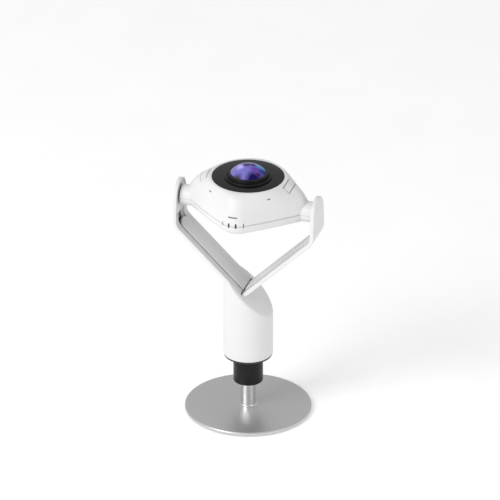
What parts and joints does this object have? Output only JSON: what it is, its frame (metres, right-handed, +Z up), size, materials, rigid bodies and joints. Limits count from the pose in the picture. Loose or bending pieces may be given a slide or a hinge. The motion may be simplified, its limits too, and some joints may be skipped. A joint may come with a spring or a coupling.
{
  "type": "table-top all-round conference camera",
  "caption": "Diamond-shaped camera head with an upward fisheye lens, tilting between a V yoke's arms on a swivelling white column and a flat disc stand.",
  "frame": {"origin": "centre of the stand's underside, on the table", "axes": "+Z up, +X along the tilt axis to the right arm tip seen from the front, -Y is the front"},
  "size_m": [0.118, 0.102, 0.2192],
  "materials": {
    "satin_grey_metal": "satin grey paint with a fine grain",
    "polished_steel": "polished",
    "black_collar": "semi-gloss black",
    "black_rubber": "matt",
    "screw_steel": "turned",
    "brass": "machined",
    "white_plastic": "fine matt texture",
    "pale_plastic": "fine matt texture, one shade darker",
    "black_plastic": "matt",
    "deck_black": "satin, slightly green black",
    "lens_black": "satin black anodised look",
    "coated_glass": "polished, purple anti-reflection coating",
    "sensor_glass": "polished",
    "board_green": "solder mask",
    "aluminium": "bead-blasted",
    "black_film": "flexible film",
    "clear_light": "translucent"
  },
  "bodies": {
    "stand": {"base_disc": "satin_grey_metal", "base_pad": "black_rubber", "base_screw": "screw_steel", "stem": "polished_steel", "stand_stud": "screw_steel", "collar": "black_collar", "swivel_washer": "black_plastic"},
    "column": {"thread_insert": "brass", "end_plate": "black_plastic", "end_plate_screws": "screw_steel", "column_shell": "white_plastic", "usb_board": "board_green", "usb_port": "screw_steel", "left_arm_shell": "white_plastic", "right_arm_shell": "white_plastic", "left_arm_cover": "pale_plastic", "right_arm_cover": "pale_plastic", "left_tip_plate": "pale_plastic", "right_tip_plate": "pale_plastic", "arm_root_screws": "screw_steel", "pivot_bushes": "brass", "friction_washers": "black_plastic", "arm_cable": "black_film"},
    "head": {"head_top_shell": "white_plastic", "head_bottom_shell": "white_plastic", "seam_band": "pale_plastic", "left_axle": "screw_steel", "right_axle": "screw_steel", "axle_lead": "black_rubber", "lens_deck": "deck_black", "lens_ring": "lens_black", "lens_barrel": "lens_black", "front_glass": "coated_glass", "inner_lenses": "coated_glass", "barrel_nut": "lens_black", "lens_holder": "black_plastic", "image_sensor": "sensor_glass", "sensor_board": "board_green", "main_board": "board_green", "heat_spreader": "aluminium", "board_screws": "screw_steel", "microphones": "screw_steel", "mic_grille": "black_plastic", "status_light": "clear_light", "key_boards": "board_green", "key_switches": "black_plastic", "shell_screws": "screw_steel"},
    "left_front_key": {"left_front_key": "white_plastic"},
    "left_back_key": {"left_back_key": "white_plastic"},
    "right_front_key": {"right_front_key": "white_plastic"},
    "right_back_key": {"right_back_key": "white_plastic"}
  },
  "joints": [
    {"name": "pan", "type": "hinge", "parent": "stand", "child": "column", "pos_m": [0, 0, 0.0494], "axis": [0, 0, 1], "continuous": true},
    {"name": "tilt", "type": "hinge", "parent": "column", "child": "head", "pos_m": [0, 0, 0.1853], "axis": [1, 0, 0], "range_deg": [-90, 90]},
    {"name": "left_front_press", "type": "slide", "parent": "head", "child": "left_front_key", "axis": [0.5, 0, -0.866], "range_m": [0, 0.0005], "stiffness_N_per_m": 600, "springref_m": -0.0005},
    {"name": "left_back_press", "type": "slide", "parent": "head", "child": "left_back_key", "axis": [0.5, 0, -0.866], "range_m": [0, 0.0005], "stiffness_N_per_m": 600, "springref_m": -0.0005},
    {"name": "right_front_press", "type": "slide", "parent": "head", "child": "right_front_key", "axis": [-0.5, 0, -0.866], "range_m": [0, 0.0005], "stiffness_N_per_m": 600, "springref_m": -0.0005},
    {"name": "right_back_press", "type": "slide", "parent": "head", "child": "right_back_key", "axis": [-0.5, 0, -0.866], "range_m": [0, 0.0005], "stiffness_N_per_m": 600, "springref_m": -0.0005}
  ]
}
